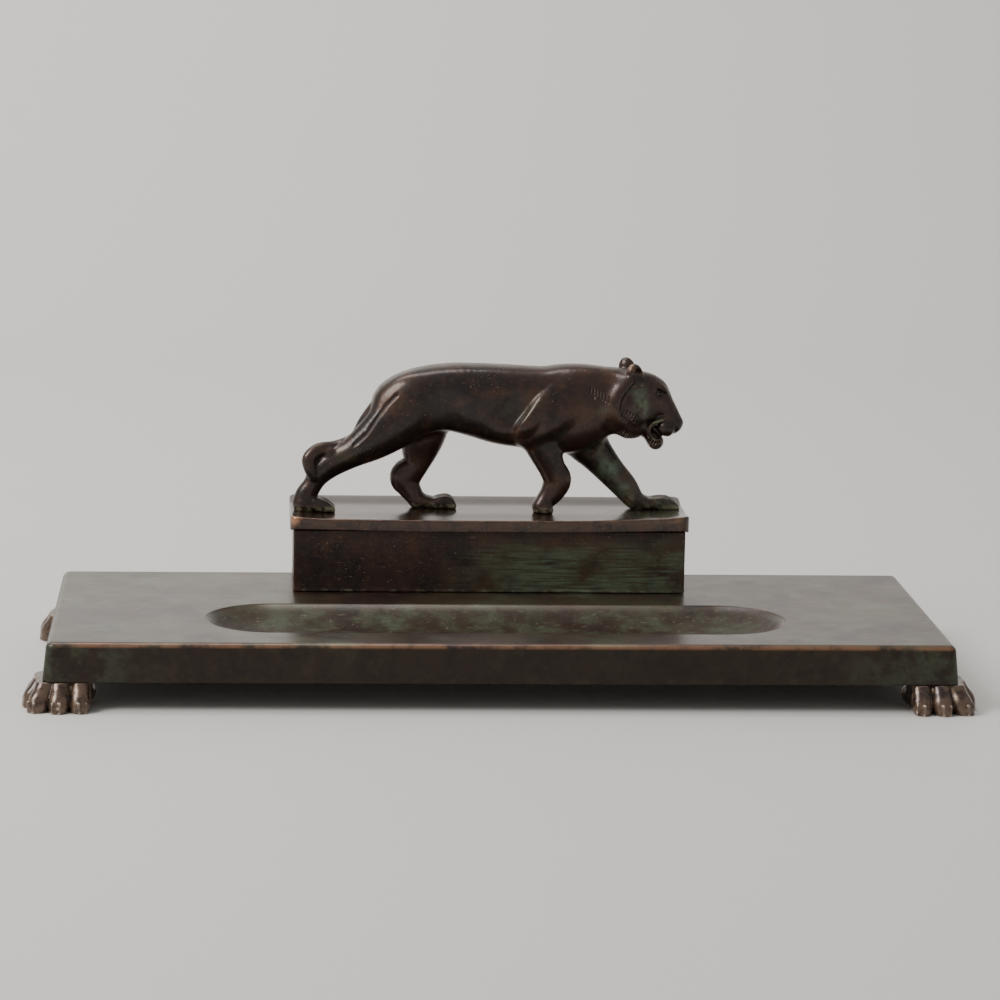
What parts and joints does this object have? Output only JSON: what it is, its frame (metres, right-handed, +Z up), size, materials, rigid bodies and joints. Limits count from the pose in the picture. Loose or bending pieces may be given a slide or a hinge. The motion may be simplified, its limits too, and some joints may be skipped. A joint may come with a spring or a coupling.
{
  "type": "desk inkwell",
  "caption": "Bronze desk inkstand: pen tray base on paw feet, a box of glass ink wells at the back, and a hinged lid that carries a walking big cat.",
  "frame": {"origin": "centre of the footprint, on the surface that the feet stand on", "axes": "+X along the pen tray towards the cat's head, +Y from the writer's side to the hinged back, +Z up"},
  "size_m": [0.3962, 0.1646, 0.1287],
  "materials": {
    "patina_bronze": "dark brown waxed bronze patina",
    "tray_bronze": "brown-green bronze patina, worn on the edges",
    "aged_brass": "aged unlacquered brass",
    "screw_steel": "darkened steel",
    "well_glass": "clear pressed glass with a faint green tint"
  },
  "bodies": {
    "base": {"base_tray": "tray_bronze", "box_screw_1": "screw_steel", "box_screw_2": "screw_steel", "box_screw_3": "screw_steel", "box_screw_4": "screw_steel", "foot_back_left": "patina_bronze", "foot_back_right": "patina_bronze", "foot_front_left": "patina_bronze", "foot_front_right": "patina_bronze", "foot_screw_back_left": "screw_steel", "foot_screw_back_right": "screw_steel", "foot_screw_front_left": "screw_steel", "foot_screw_front_right": "screw_steel", "glass_well_left": "well_glass", "glass_well_right": "well_glass", "hinge_box_rivet_1": "aged_brass", "hinge_box_rivet_2": "aged_brass", "hinge_box_rivet_3": "aged_brass", "hinge_box_rivet_4": "aged_brass", "hinge_left_box_leaf": "aged_brass", "hinge_left_pin": "screw_steel", "hinge_right_box_leaf": "aged_brass", "hinge_right_pin": "screw_steel", "partition_left": "aged_brass", "partition_right": "aged_brass", "well_box": "patina_bronze"},
    "lid": {"cat_figure": "patina_bronze", "figure_screw_1": "screw_steel", "figure_screw_2": "screw_steel", "figure_screw_3": "screw_steel", "figure_screw_4": "screw_steel", "hinge_left_lid_leaf": "aged_brass", "hinge_lid_rivet_1": "aged_brass", "hinge_lid_rivet_2": "aged_brass", "hinge_lid_rivet_3": "aged_brass", "hinge_lid_rivet_4": "aged_brass", "hinge_right_lid_leaf": "aged_brass", "lid": "patina_bronze"}
  },
  "joints": [
    {"name": "lid_hinge", "type": "hinge", "parent": "base", "child": "lid", "pos_m": [0, 0.0768, 0.0561], "axis": [-1, 0, 0], "range_deg": [0, 105]}
  ]
}
